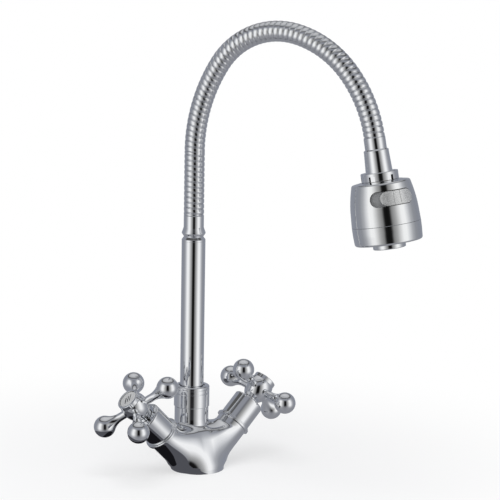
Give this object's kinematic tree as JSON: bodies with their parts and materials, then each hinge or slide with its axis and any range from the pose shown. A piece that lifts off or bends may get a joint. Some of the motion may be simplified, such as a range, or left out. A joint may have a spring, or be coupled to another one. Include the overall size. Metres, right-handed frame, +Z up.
{
  "type": "two handle kitchen faucet",
  "caption": "Deck mounted kitchen faucet with cross handles on a V shaped body, a flexible ribbed gooseneck and a spray head with a mode slider.",
  "frame": {"origin": "centre of the round foot, on the deck", "axes": "+Z up, +X along the two valves towards the cold side, -Y towards the user"},
  "size_m": [0.2234, 0.2181, 0.4087],
  "materials": {
    "chrome_body": "polished chrome plate on cast brass",
    "chrome_tube": "polished chrome plate on drawn tube",
    "chrome_hose": "polished chrome plated wound steel strip",
    "chrome_plastic": "chrome plated moulded plastic",
    "satin_plastic": "satin silver lacquer on moulded plastic",
    "grey_plastic": "grey moulded plastic",
    "white_plastic": "white moulded plastic",
    "brass": "machined brass",
    "ceramic": "lapped alumina ceramic",
    "rubber": "moulded black rubber",
    "soft_grey": "soft grey silicone",
    "steel": "stainless steel"
  },
  "bodies": {
    "base": {"valve_body": "chrome_body", "base_seal": "rubber", "spout_collar": "chrome_body", "spout_bush": "white_plastic", "hot_bonnet": "chrome_body", "hot_cartridge": "brass", "hot_fixed_disc": "ceramic", "hot_seat_seal": "rubber", "cold_bonnet": "chrome_body", "cold_cartridge": "brass", "cold_fixed_disc": "ceramic", "cold_seat_seal": "rubber"},
    "hot_valve": {"hot_spindle": "brass", "hot_turning_disc": "ceramic", "hot_handle": "chrome_body", "hot_cap_ring": "chrome_body", "hot_index_disc": "satin_plastic", "hot_handle_screw": "steel"},
    "cold_valve": {"cold_spindle": "brass", "cold_turning_disc": "ceramic", "cold_handle": "chrome_body", "cold_cap_ring": "chrome_body", "cold_index_disc": "satin_plastic", "cold_handle_screw": "steel"},
    "spout": {"riser_tube": "chrome_tube", "spout_spigot": "brass", "spout_o_rings": "rubber", "lower_ferrule": "chrome_body", "gooseneck_1": "chrome_hose", "inner_hose": "rubber"},
    "neck_2": {"gooseneck_2": "chrome_hose"},
    "neck_3": {"gooseneck_3": "chrome_hose"},
    "neck_4": {"gooseneck_4": "chrome_hose"},
    "neck_5": {"gooseneck_5": "chrome_hose"},
    "neck_6": {"gooseneck_6": "chrome_hose"},
    "neck_7": {"gooseneck_7": "chrome_hose"},
    "neck_8": {"gooseneck_8": "chrome_hose"},
    "neck_9": {"gooseneck_9": "chrome_hose", "upper_ferrule": "chrome_body", "collar_washer": "rubber", "head_collar": "chrome_body"},
    "spray_head": {"head_inlet": "brass", "head_shell": "chrome_plastic", "head_skirt": "chrome_plastic", "head_core": "grey_plastic", "spray_plate": "grey_plastic", "spray_jets": "soft_grey", "nozzle_ring": "chrome_plastic", "aerator_insert": "grey_plastic"},
    "mode_switch": {"mode_slider": "satin_plastic", "diverter_disc": "white_plastic"}
  },
  "joints": [
    {"name": "hot_turn", "type": "hinge", "parent": "base", "child": "hot_valve", "pos_m": [-0.06689, 0, 0.06529], "axis": [-0.7071, 0, 0.7071], "range_deg": [0, 90]},
    {"name": "cold_turn", "type": "hinge", "parent": "base", "child": "cold_valve", "pos_m": [0.06689, 0, 0.06529], "axis": [0.7071, 0, 0.7071], "range_deg": [-90, 0]},
    {"name": "spout_swivel", "type": "hinge", "parent": "base", "child": "spout", "pos_m": [0, 0.0105, 0.062], "axis": [0, 0, 1], "continuous": true},
    {"name": "neck_bend_1", "type": "hinge", "parent": "spout", "child": "neck_2", "pos_m": [0, 0.0105, 0.27106], "axis": [0.848, 0.5299, 0], "range_deg": [-10, 8], "deforming": ["inner_hose"]},
    {"name": "neck_sway_2", "type": "hinge", "parent": "neck_2", "child": "neck_3", "pos_m": [0.00066, 0.00944, 0.30907], "axis": [0.5254, -0.8408, -0.1306], "range_deg": [-10, 10], "deforming": ["inner_hose"]},
    {"name": "neck_bend_3", "type": "hinge", "parent": "neck_3", "child": "neck_4", "pos_m": [0.00586, 0.00112, 0.34574], "axis": [0.848, 0.5299, 0], "range_deg": [-10, 8], "deforming": ["inner_hose"]},
    {"name": "neck_bend_4", "type": "hinge", "parent": "neck_4", "child": "neck_5", "pos_m": [0.01611, -0.01528, 0.37832], "axis": [0.848, 0.5299, 0], "range_deg": [-10, 8], "deforming": ["inner_hose"]},
    {"name": "neck_bend_5", "type": "hinge", "parent": "neck_5", "child": "neck_6", "pos_m": [0.0332, -0.04263, 0.39754], "axis": [0.848, 0.5299, 0], "range_deg": [-10, 8], "deforming": ["inner_hose"]},
    {"name": "neck_bend_6", "type": "hinge", "parent": "neck_6", "child": "neck_7", "pos_m": [0.05308, -0.07444, 0.3961], "axis": [0.848, 0.5299, 0], "range_deg": [-10, 8], "deforming": ["inner_hose"]},
    {"name": "neck_sway_7", "type": "hinge", "parent": "neck_7", "child": "neck_8", "pos_m": [0.0705, -0.10232, 0.37745], "axis": [-0.3506, 0.561, -0.7499], "range_deg": [-10, 10], "deforming": ["inner_hose"]},
    {"name": "neck_bend_8", "type": "hinge", "parent": "neck_8", "child": "neck_9", "pos_m": [0.08277, -0.12196, 0.34749], "axis": [0.848, 0.5299, 0], "range_deg": [-10, 8], "deforming": ["inner_hose"]},
    {"name": "head_spin", "type": "hinge", "parent": "neck_9", "child": "spray_head", "pos_m": [0.09272, -0.13788, 0.27553], "axis": [0.092, -0.1473, -0.9848], "continuous": true},
    {"name": "mode_slide", "type": "hinge", "parent": "spray_head", "child": "mode_switch", "pos_m": [0.09624, -0.14352, 0.23781], "axis": [0.092, -0.1473, -0.9848], "range_deg": [0, 17.5]}
  ]
}
